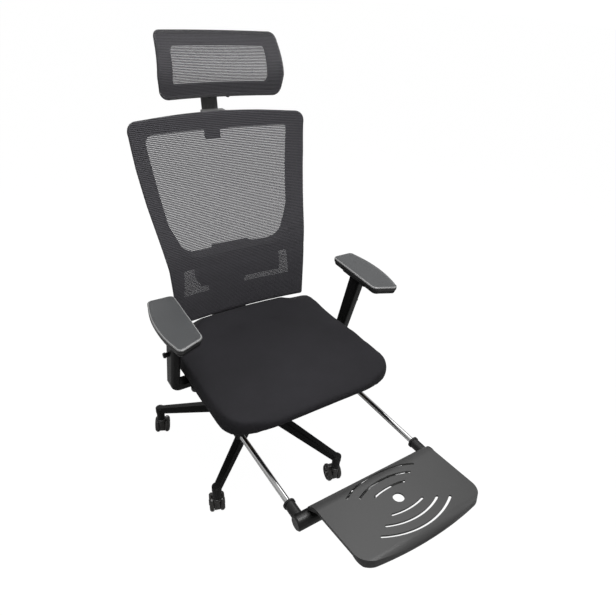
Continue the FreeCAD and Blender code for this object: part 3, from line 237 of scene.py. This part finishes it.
def brushed_metal():
    """Faint drawn lines and small changes of gloss on bare metal."""
    group, given, result = new_group(
        "brushed metal",
        [("Dark", "NodeSocketColor", (0, 0, 0, 1)), ("Light", "NodeSocketColor", (0, 0, 0, 1)),
         ("Roughness", "NodeSocketFloat", 0.2), ("Spread", "NodeSocketFloat", 0.1)],
        [("Color", "NodeSocketColor"), ("Roughness", "NodeSocketFloat"), ("Height", "NodeSocketFloat")])
    place = node(group, "ShaderNodeTexCoord")
    stretch = node(group, "ShaderNodeMapping")
    stretch.inputs["Scale"].default_value = (900.0, 12.0, 900.0)
    link(group, place.outputs["Object"], stretch.inputs["Vector"])
    lines = node(group, "ShaderNodeTexNoise")
    lines.inputs["Scale"].default_value = 1.0
    link(group, stretch.outputs["Vector"], lines.inputs["Vector"])
    link(group, mix_colour(group, lines.outputs["Fac"], given.outputs["Dark"], given.outputs["Light"]),
         result.inputs["Color"])
    link(group, math_node(group, "MULTIPLY_ADD", lines.outputs["Fac"], given.outputs["Spread"],
                          given.outputs["Roughness"]), result.inputs["Roughness"])
    link(group, lines.outputs["Fac"], result.inputs["Height"])
    return group


GRAIN = moulded_grain()
RIBS = knitted_ribs()
COVER = woven_cover()
METAL = brushed_metal()


def material_with(name, group, values, bump, **constants):
    """A material whose group feeds its shader, with a bump in metres and constants on the shader's own sockets."""
    material = bpy.data.materials.new(name)
    material.use_nodes = True
    tree = material.node_tree
    shader = tree.nodes["Principled BSDF"]
    effect = node(tree, "ShaderNodeGroup", node_tree=group)
    for key, value in values.items():
        effect.inputs[key].default_value = value
    raised = node(tree, "ShaderNodeBump")
    raised.inputs["Distance"].default_value = bump
    link(tree, effect.outputs["Height"], raised.inputs["Height"])
    link(tree, raised.outputs["Normal"], shader.inputs["Normal"])
    link(tree, effect.outputs["Color"], shader.inputs["Base Color"])
    for key in ("Roughness", "Alpha"):
        if key in effect.outputs:
            link(tree, effect.outputs[key], shader.inputs[key])
    for key, value in constants.items():
        shader.inputs[key.replace("_", " ")].default_value = value
    return material


def grey(level, warm=0.0):
    return (level * (1 + warm), level, level * (1 - warm), 1.0)


def plastic(name, low, high, roughness, bump=0.00002, spread=0.12, warm=0.0, scale=900.0, **constants):
    values = {"Dark": grey(low, warm), "Light": grey(high, warm), "Roughness": roughness, "Spread": spread,
              "Grain scale": scale}
    return material_with(name, GRAIN, values, bump, **constants)


def metal(name, low, high, roughness, spread=0.08, **constants):
    values = {"Dark": grey(low), "Light": grey(high), "Roughness": roughness, "Spread": spread}
    return material_with(name, METAL, values, 0.000004, Metallic=1.0, **constants)


BASE_PLASTIC = plastic("base plastic", 0.006, 0.011, 0.46, Specular_IOR_Level=0.20)
ARM_PLASTIC = plastic("arm plastic", 0.004, 0.008, 0.36, Specular_IOR_Level=0.28)
CASTER_PLASTIC = plastic("caster plastic", 0.034, 0.052, 0.22, bump=0.000008, warm=0.06)
FRAME_PLASTIC = plastic("back frame plastic", 0.007, 0.012, 0.48)
PAD_PLASTIC = plastic("arm pad skin", 0.058, 0.082, 0.34, bump=0.00003, warm=-0.03, scale=700.0)
# The skin's upright side is a darker copy of the top skin: painted shade.
PAD_SIDE_SHADE = plastic("arm pad side painted shade", 0.024, 0.034, 0.40, bump=0.00003, scale=700.0)
# The rounded rim is painted far lighter than the skin: a painted highlight along the pad's top edge.
PAD_RIM_HIGHLIGHT = plastic("arm pad rim painted highlight", 0.20, 0.28, 0.26, bump=0.00001)
PAD_BASE = plastic("arm pad base", 0.008, 0.014, 0.45)
PLATE_PLASTIC = plastic("footrest plastic", 0.046, 0.062, 0.38, bump=0.00003)
ELBOW_PLASTIC = plastic("elbow plastic", 0.006, 0.011, 0.36)
BRACKET_PLASTIC = plastic("bracket plastic", 0.34, 0.46, 0.34)
POST_PLASTIC = plastic("headrest post plastic", 0.060, 0.095, 0.30)
BUSH_PLASTIC = plastic("bush plastic", 0.20, 0.28, 0.5)
DARK_STEEL = plastic("painted steel", 0.010, 0.016, 0.36, bump=0.00001, scale=1500.0)
CHROME = metal("chrome", 0.84, 0.92, 0.10)
ZINC = metal("zinc plate", 0.45, 0.58, 0.3)
BOARD = material_with(
    "seat board", COVER,
    {"Dark": (0.035, 0.024, 0.015, 1), "Light": (0.070, 0.048, 0.030, 1), "Threads": 300.0}, 0.00001)
SEAT_CLOTH = material_with(
    "seat cloth", COVER,
    {"Dark": (0.014, 0.014, 0.015, 1), "Light": (0.036, 0.034, 0.040, 1), "Threads": 620.0}, 0.00012,
    Specular_IOR_Level=0.14, Sheen_Weight=0.03, Sheen_Roughness=0.4)
MESH_CLOTH = material_with(
    "mesh cloth", RIBS,
    {"Thread": (0.074, 0.071, 0.083, 1), "Shade": (0.018, 0.017, 0.021, 1), "Hole width": 0.32,
     "Dense edge": 0.170, "Dense size": 0.60}, 0.0006,
    Roughness=0.62, Sheen_Weight=0.15, Sheen_Roughness=0.4)
HEAD_CLOTH = material_with(
    "headrest mesh cloth", RIBS,
    {"Thread": (0.070, 0.067, 0.078, 1), "Shade": (0.016, 0.015, 0.018, 1), "Rib pitch": 0.0036,
     "Hole pitch": 0.0030}, 0.0005,
    Roughness=0.62, Sheen_Weight=0.15, Sheen_Roughness=0.4)


def dress(material, *names):
    for name in names:
        slots = nodes[name].data.materials
        slots.clear()
        slots.append(material)


FIVE = range(1, 6)
dress(BASE_PLASTIC, "star_base", "column_cover_lower", "column_cover_upper")
dress(CASTER_PLASTIC, *[f"caster_{part}_{i}" for part in ("hood", "wheels") for i in FIVE])
dress(ZINC, *[f"caster_{part}_{i}" for part in ("stem", "axle") for i in FIVE])
dress(ZINC, "recline_pin", "seat_bolts", "back_bolts", "headrest_pin", "lift_piston_rod")
dress(DARK_STEEL, "lift_stand_tube", "lift_pressure_tube", "tilt_housing", "lift_lever", "tilt_lever",
      "back_support_bar")
dress(BUSH_PLASTIC, "lift_guide_bush")
dress(ARM_PLASTIC, "tension_knob", "footrest_rail_left", "footrest_rail_right", "arm_bracket_left",
      "arm_bracket_right", "arm_post_left", "arm_post_right", "arm_button_left", "arm_button_right")
dress(POST_PLASTIC, "headrest_post")
dress(BOARD, "seat_pan")
dress(CHROME, "footrest_tube_left", "footrest_tube_right", "footrest_axle")
dress(ELBOW_PLASTIC, "footrest_elbow_left", "footrest_elbow_right")
dress(PLATE_PLASTIC, "footrest_plate")
dress(PAD_PLASTIC, "arm_pad_left", "arm_pad_right")
dress(FRAME_PLASTIC, "back_frame", "headrest_frame")
dress(BRACKET_PLASTIC, "headrest_bracket")


# Mesh cloth of the back and the headrest

CLOTH_THICKNESS = 0.0009
CLOTH_SETBACK = 0.0006
FRONT_OF_CHAIR = -0.5


def rounded_outline(corners):
    """Points of a closed outline, from (x, z, radius) corners in millimetres, each rounded by a fan of points."""
    points = []
    count = len(corners)
    for i, (x, z, radius) in enumerate(corners):
        here = Vector((x, z))
        before = Vector(corners[i - 1][:2])
        after = Vector(corners[(i + 1) % count][:2])
        into, out = (before - here).normalized(), (after - here).normalized()
        half = into.angle(out) / 2
        if radius < 0.5 or half > math.radians(88):
            points.append(here)
            continue
        centre = here + (into + out).normalized() * (radius / math.sin(half))
        start = here + into * (radius / math.tan(half)) - centre
        turn = math.pi - 2 * half
        side = 1 if into.cross(out) < 0 else -1
        steps = max(3, int(turn / 0.16))
        for step in range(steps + 1):
            points.append(centre + Matrix.Rotation(side * turn * step / steps, 2) @ start)
    return points


def stretched_cloth(node_name, outline, cell):
    """A sheet cut to the outline in a grid of cells, and laid on the front of the CAD cloth."""
    bm = bmesh.new()
    ring = [bm.verts.new((p.x * MM, 0.0, p.y * MM)) for p in outline]
    bm.faces.new(ring)
    for axis in (0, 2):
        normal = Vector((1 if axis == 0 else 0, 0, 1 if axis == 2 else 0))
        low = min(v.co[axis] for v in bm.verts)
        high = max(v.co[axis] for v in bm.verts)
        for step in range(1, int((high - low) / cell)):
            geometry = bm.verts[:] + bm.edges[:] + bm.faces[:]
            bmesh.ops.bisect_plane(bm, geom=geometry, plane_co=normal * (low + step * cell), plane_no=normal)
    surface = BVHTree.FromObject(nodes[node_name], bpy.context.evaluated_depsgraph_get())
    centre = Vector((0, 0, sum(v.co.z for v in bm.verts) / len(bm.verts)))
    for vert in bm.verts:
        inward = (centre - vert.co).normalized() * 0.004
        for share in (0.0, 0.3, 1.0, 2.0):
            place = vert.co + inward * share
            hit = surface.ray_cast(Vector((place.x, FRONT_OF_CHAIR, place.z)), Vector((0, 1, 0)))[0]
            if hit:
                break
        vert.co.y = hit.y + CLOTH_SETBACK
    return bm


def cloth_uv(bm):
    """UV in metres: across the chair, and along the cloth from its lowest edge."""
    layer = bm.loops.layers.uv.new("cloth")
    spine = sorted({(round(v.co.z, 4), round(v.co.y, 5)) for v in bm.verts if abs(v.co.x) < 0.006})
    lengths = [(spine[0][0], 0.0)]
    for (z0, y0), (z1, y1) in zip(spine, spine[1:]):
        lengths.append((z1, lengths[-1][1] + math.hypot(z1 - z0, y1 - y0)))

    def along(z):
        for (z0, s0), (z1, s1) in zip(lengths, lengths[1:]):
            if z <= z1:
                return s0 + (s1 - s0) * (z - z0) / max(z1 - z0, 1e-9)
        return lengths[-1][1] + z - lengths[-1][0]

    for face in bm.faces:
        for loop in face.loops:
            loop[layer].uv = (loop.vert.co.x, along(loop.vert.co.z))


def roll_edge(bm, steps):
    """Turn the sheet's border back: each step is (outward, back) in metres from the border before it."""
    for outward, back in steps:
        border = [e for e in bm.edges if e.is_boundary]
        grown = bmesh.ops.extrude_edge_only(bm, edges=border)["geom"]
        verts = [g for g in grown if isinstance(g, bmesh.types.BMVert)]
        middle_z = sum(v.co.z for v in verts) / len(verts)
        moves = []
        for vert in verts:
            neighbours = [e.other_vert(vert) for e in vert.link_edges if e.is_boundary]
            along = neighbours[0].co - neighbours[-1].co
            side = Vector((along.z, 0, -along.x)).normalized()
            if side.dot(Vector((vert.co.x, 0, vert.co.z - middle_z))) < 0:
                side = -side
            moves.append((vert, side * outward + Vector((0, back, 0))))
        for vert, move in moves:
            vert.co += move


BACK_SIDE = [(206.0, 474.0), (209.0, 560.0), (212.0, 640.0), (223.0, 720.0), (236.0, 810.0), (246.0, 900.0)]


def back_corners():
    right = [(x, z, 0.0 if z > 480 else 6.0) for x, z in BACK_SIDE]
    top = [(252.5, 1006.0, 22.0), (120.0, 1013.5, 0.0), (0.0, 1017.0, 0.0)]
    left = [(-x, z, r) for x, z, r in reversed(right + top[:-1])]
    return right + top + left


BACK_ROLL = ((0.0008, 0.0008), (0.0003, 0.003), (-0.0002, 0.004))
HEAD_CORNERS = [(164.0, 1058.0, 22.0), (170.0, 1112.0, 60.0), (159.0, 1205.0, 16.0),
                (-159.0, 1205.0, 16.0), (-170.0, 1112.0, 60.0), (-164.0, 1058.0, 22.0)]

HEAD_ROLL = ((0.0010, 0.0010), (0.0002, 0.004), (-0.0010, 0.006), (-0.003, 0.004))


def mesh_cloth(name, node_name, corners, cell, roll, material):
    """The knitted cloth over one frame, with its border rolled back round the frame's edge."""
    bm = stretched_cloth(node_name, rounded_outline(corners), cell)
    roll_edge(bm, roll)
    cloth_uv(bm)
    bmesh.ops.recalc_face_normals(bm, faces=bm.faces)
    piece = mesh_object(name, bm, material)
    smooth(piece)
    add_modifier(piece, "SOLIDIFY", thickness=CLOTH_THICKNESS, offset=0.0)
    return piece


back = mesh_cloth("back_cloth", "back_mesh", back_corners(), 0.009, BACK_ROLL, MESH_CLOTH)
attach(back, "back")
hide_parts("back_mesh")
head = mesh_cloth("headrest_cloth", "headrest_mesh", HEAD_CORNERS, 0.007, HEAD_ROLL, HEAD_CLOTH)
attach(head, "headrest")
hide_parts("headrest_mesh")


# Seat cushion

CUSHION_SIDE_LIFT = 0.010
CUSHION_MIDDLE_LIFT = 0.020
CUSHION_MIDDLE_HALF = (0.13, 0.18)
CUSHION_RIM_HEIGHT = (0.405, 0.435)
CORNER_PUSH = 0.006
COVER_CELL = 0.006
PUFF_PRESSURE = 4.0
PUFF_FRAMES = 20
PUFF_LIMIT = 0.003
HELD_HEIGHT = 0.012


def ease(value, low, high):
    """A smooth step from 0 at low to 1 at high."""
    share = min(max((value - low) / (high - low), 0.0), 1.0)
    return share * share * (3 - 2 * share)


def lift_rear_edge(piece):
    """Raise the cushion's rear top edge, most in its middle."""
    rear = max(v.co.y for v in piece.data.vertices)
    for vert in piece.data.vertices:
        near = ease(vert.co.y, rear - 0.10, rear - 0.015) * ease(vert.co.z, *CUSHION_RIM_HEIGHT)
        middle = 1 - ease(abs(vert.co.x), *CUSHION_MIDDLE_HALF)
        vert.co.z += near * (CUSHION_SIDE_LIFT + (CUSHION_MIDDLE_LIFT - CUSHION_SIDE_LIFT) * middle)


def square_front_corners(piece):
    """Push the two front corners out, for their tighter turn."""
    front = min(v.co.y for v in piece.data.vertices)
    half = max(v.co.x for v in piece.data.vertices)
    for vert in piece.data.vertices:
        share = ease(abs(vert.co.x), half - 0.13, half - 0.02) * ease(-vert.co.y, -front - 0.16, -front - 0.03)
        vert.co.x += math.copysign(CORNER_PUSH * share, vert.co.x)
        vert.co.y -= 0.6 * CORNER_PUSH * share


def puff(piece):
    """Let air pressure fill the cover as cloth, held on its underside, and keep every move short."""
    scene = bpy.context.scene
    before = [v.co.copy() for v in piece.data.vertices]
    lowest = min(co.z for co in before)
    held = piece.vertex_groups.new(name="held")
    held.add([i for i, co in enumerate(before) if co.z < lowest + HELD_HEIGHT], 1.0, "REPLACE")
    cloth = piece.modifiers.new("cloth", "CLOTH")
    cloth.settings.vertex_group_mass = "held"
    cloth.settings.use_pressure = True
    cloth.settings.uniform_pressure_force = PUFF_PRESSURE
    cloth.settings.effector_weights.gravity = 0.0
    cloth.settings.quality = 5
    cloth.point_cache.frame_start = 1
    cloth.point_cache.frame_end = PUFF_FRAMES
    for step in range(1, PUFF_FRAMES + 1):
        scene.frame_set(step)
    finish_modifiers(piece)
    for vert, start in zip(piece.data.vertices, before):
        move = vert.co - start
        if move.length > PUFF_LIMIT:
            vert.co = start + move * (PUFF_LIMIT / move.length)
    scene.frame_set(1)


def seat_cushion():
    """The cushion's cover: the CAD cushion in even cells, its edges eased, filled as cloth."""
    bm = merged_copy("seat_cushion")
    piece = mesh_object("seat_cushion_cover", bm, SEAT_CLOTH)
    add_modifier(piece, "REMESH", mode="VOXEL", voxel_size=COVER_CELL)
    finish_modifiers(piece)
    add_modifier(piece, "SMOOTH", factor=0.5, iterations=3)
    finish_modifiers(piece)
    lift_rear_edge(piece)
    square_front_corners(piece)
    puff(piece)
    add_modifier(piece, "SUBSURF", levels=1, render_levels=1)
    finish_modifiers(piece)
    smooth(piece)
    return piece


cushion = seat_cushion()
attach(cushion, "seat")
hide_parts("seat_cushion")


# Arm pads: a grey skin with a crisp rounded rim, on a dark base with a joint line between them; the rim's lighter
# colour is a painted highlight, and the skin's darker upright side is painted shade

# The pad's outline is read at PAD_LEVEL. Each ring is (height, growth of the outline) in metres, from the base up.
PAD_LEVEL = 0.634
PAD_STEP = 0.004
PAD_RINGS = [(0.6200, -0.0090), (0.6203, -0.0070), (0.6225, -0.0046), (0.6260, -0.0030), (0.6305, -0.0026),
             (0.6310, -0.0040), (0.6318, -0.0040), (0.6323, -0.0006), (0.6340, 0.0), (0.6410, 0.0),
             (0.6420, -0.0003), (0.6431, -0.0010), (0.6438, -0.0020), (0.6440, -0.0034), (0.6437, -0.0046),
             (0.6432, -0.0060), (0.6430, -0.0090)]
PAD_JOINT, PAD_HIGHLIGHT_START, PAD_HIGHLIGHT_END = 6, 9, 13
TOP_SKIN, SHADED_SIDE_SKIN, RIM_HIGHLIGHT, BASE = range(4)


def outline_at(node_name, height):
    """The closed outline of a node at a height, counter-clockwise from above, as points spaced evenly."""
    bm = merged_copy(node_name)
    cut = bmesh.ops.bisect_plane(bm, geom=bm.verts[:] + bm.edges[:] + bm.faces[:], plane_co=Vector((0, 0, height)),
                                 plane_no=Vector((0, 0, 1)))["geom_cut"]
    edges = {e for e in cut if isinstance(e, bmesh.types.BMEdge)}
    first = min({v for e in edges for v in e.verts}, key=lambda v: (round(v.co.y, 6), round(v.co.x, 6)))
    edge = min((e for e in first.link_edges if e in edges), key=lambda e: round(e.other_vert(first).co.x, 6))
    here, walk = edge.other_vert(first), [first.co.copy()]
    while here != first:
        walk.append(here.co.copy())
        edge = next(e for e in here.link_edges if e in edges and e != edge)
        here = edge.other_vert(here)
    bm.free()
    if sum(a.x * b.y - b.x * a.y for a, b in zip(walk, walk[1:] + walk[:1])) < 0:
        walk.reverse()
    lengths = [0.0]
    for a, b in zip(walk, walk[1:] + walk[:1]):
        lengths.append(lengths[-1] + (b - a).length)
    count = int(lengths[-1] / PAD_STEP)
    points, k = [], 0
    for i in range(count):
        along = lengths[-1] * i / count
        while lengths[k + 1] < along:
            k += 1
        share = (along - lengths[k]) / max(lengths[k + 1] - lengths[k], 1e-9)
        points.append(walk[k].lerp(walk[(k + 1) % len(walk)], share))
    return points


def pad_band(level):
    """The material of the wall between one ring and the next."""
    if level < PAD_JOINT:
        return BASE
    # The upright side between the joint and the rim gets the darker copy of the skin: painted shade.
    if level < PAD_HIGHLIGHT_START:
        return SHADED_SIDE_SKIN
    # The walls of the rounded rim get the lighter rim colour: a painted highlight.
    return RIM_HIGHLIGHT if level < PAD_HIGHLIGHT_END else TOP_SKIN


def arm_pad(name, node_name):
    """A pad extruded ring by ring from its underside to its top."""
    outline = outline_at(node_name, PAD_LEVEL)
    outward = []
    for before, after in zip(outline[-1:] + outline[:-1], outline[1:] + outline[:1]):
        along = after - before
        outward.append(Vector((along.y, -along.x, 0)).normalized())

    def place(i, height, grow):
        point = outline[i] + outward[i] * grow
        return Vector((point.x, point.y, height))

    bm = bmesh.new()
    order = bm.verts.layers.int.new("order")
    base = [bm.verts.new(place(i, *PAD_RINGS[0])) for i in range(len(outline))]
    for i, vert in enumerate(base):
        vert[order] = i
    under = bm.faces.new(list(reversed(base)))
    under.material_index = BASE
    border = under.edges[:]
    for level, ring in enumerate(PAD_RINGS[1:]):
        grown = bmesh.ops.extrude_edge_only(bm, edges=border)["geom"]
        raised = {g for g in grown if isinstance(g, bmesh.types.BMVert)}
        for vert in raised:
            vert.co = place(vert[order], *ring)
        for wall in (g for g in grown if isinstance(g, bmesh.types.BMFace)):
            wall.material_index = pad_band(level)
        border = [g for g in grown if isinstance(g, bmesh.types.BMEdge) and raised.issuperset(g.verts)]
    top = bm.faces.new(sorted(raised, key=lambda vert: vert[order]))
    top.material_index = TOP_SKIN
    bm.verts.layers.int.remove(order)
    bmesh.ops.recalc_face_normals(bm, faces=bm.faces)
    piece = mesh_object(name, bm, PAD_PLASTIC)
    for material in (PAD_SIDE_SHADE, PAD_RIM_HIGHLIGHT, PAD_BASE):
        piece.data.materials.append(material)
    smooth(piece)
    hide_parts(node_name)
    return piece


for side in ("left", "right"):
    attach(arm_pad(f"arm_pad_skin_{side}", f"arm_pad_{side}"), f"arm_{side}")


# Floor, light and camera

FLOOR_GLOW = 1.12
FLOOR_GLOW_SHARE = 0.88
SKY_SEEN = 1.15
SKY_AMBIENT = 0.16
SKY_MIRRORED = 0.26
CAMERA_PLACE = (-0.5693, -1.0684, 1.3445)
CAMERA_AZIMUTH, CAMERA_ELEVATION, CAMERA_ROLL = -34.85, 33.70, 4.93
CAMERA_LENS = 29.395
CAMERA_SENSOR = 36.0


def white_floor():
    bm = bmesh.new()
    bmesh.ops.create_grid(bm, x_segments=2, y_segments=2, size=30.0)
    material = bpy.data.materials.new("pale floor")
    material.use_nodes = True
    tree = material.node_tree
    shader = tree.nodes["Principled BSDF"]
    shader.inputs["Base Color"].default_value = (0.60, 0.60, 0.60, 1)
    shader.inputs["Roughness"].default_value = 0.9
    shader.inputs["Specular IOR Level"].default_value = 0.1
    glow = node(tree, "ShaderNodeEmission")
    glow.inputs["Strength"].default_value = FLOOR_GLOW
    path = node(tree, "ShaderNodeLightPath")
    share = math_node(tree, "MULTIPLY", path.outputs["Is Camera Ray"], FLOOR_GLOW_SHARE)
    mixer = node(tree, "ShaderNodeMixShader")
    link(tree, share, mixer.inputs[0])
    link(tree, shader.outputs[0], mixer.inputs[1])
    link(tree, glow.outputs[0], mixer.inputs[2])
    link(tree, mixer.outputs[0], tree.nodes["Material Output"].inputs["Surface"])
    floor = mesh_object("floor", bm, material)


def studio_world():
    world = bpy.data.worlds.new("studio")
    bpy.context.scene.world = world
    world.use_nodes = True
    tree = world.node_tree
    light = tree.nodes["Background"]
    light.inputs["Color"].default_value = (1, 1, 1, 1)
    path = node(tree, "ShaderNodeLightPath")
    seen = math_node(tree, "MAXIMUM", path.outputs["Is Camera Ray"], path.outputs["Is Transmission Ray"])
    mirrored = math_node(tree, "MULTIPLY_ADD", path.outputs["Is Glossy Ray"], SKY_MIRRORED, SKY_AMBIENT)
    link(tree, math_node(tree, "MAXIMUM", math_node(tree, "MULTIPLY", seen, SKY_SEEN), mirrored),
         light.inputs["Strength"])


def soft_light(name, place, target, size, watts):
    data = bpy.data.lights.new(name, "AREA")
    data.shape = "DISK"
    data.size = size
    data.energy = watts
    lamp = bpy.data.objects.new(name, data)
    bpy.context.scene.collection.objects.link(lamp)
    lamp.location = place
    lamp.rotation_mode = "QUATERNION"
    lamp.rotation_quaternion = (Vector(target) - Vector(place)).to_track_quat("-Z", "Y")


def photo_camera():
    azimuth, elevation, roll = (math.radians(turn) for turn in (CAMERA_AZIMUTH, CAMERA_ELEVATION, CAMERA_ROLL))
    back = Vector((math.sin(azimuth) * math.cos(elevation), -math.cos(azimuth) * math.cos(elevation),
                   math.sin(elevation)))
    right = Vector((math.cos(azimuth), math.sin(azimuth), 0))
    up = back.cross(right)
    right, up = (right * math.cos(roll) + up * math.sin(roll), up * math.cos(roll) - right * math.sin(roll))
    data = bpy.data.cameras.new("camera")
    data.sensor_width = CAMERA_SENSOR
    data.lens = CAMERA_LENS
    camera = bpy.data.objects.new("camera", data)
    bpy.context.scene.collection.objects.link(camera)
    camera.matrix_world = Matrix.Translation(CAMERA_PLACE) @ Matrix((
        (right.x, up.x, back.x), (right.y, up.y, back.y), (right.z, up.z, back.z))).to_4x4()
    bpy.context.scene.camera = camera


white_floor()
studio_world()
soft_light("key", (-0.10, -0.50, 1.62), (0, -0.20, 0.45), 0.9, 16)
soft_light("fill", (1.9, -1.2, 1.8), (0, -0.1, 0.5), 1.6, 6)
soft_light("rear", (1.3, 1.3, 2.6), (0, 0, 0.5), 1.0, 6)
soft_light("low rear", (0.2, 2.4, 0.9), (0, 0.1, 0.6), 1.0, 9)
photo_camera()
bpy.context.scene.view_settings.view_transform = "Standard"
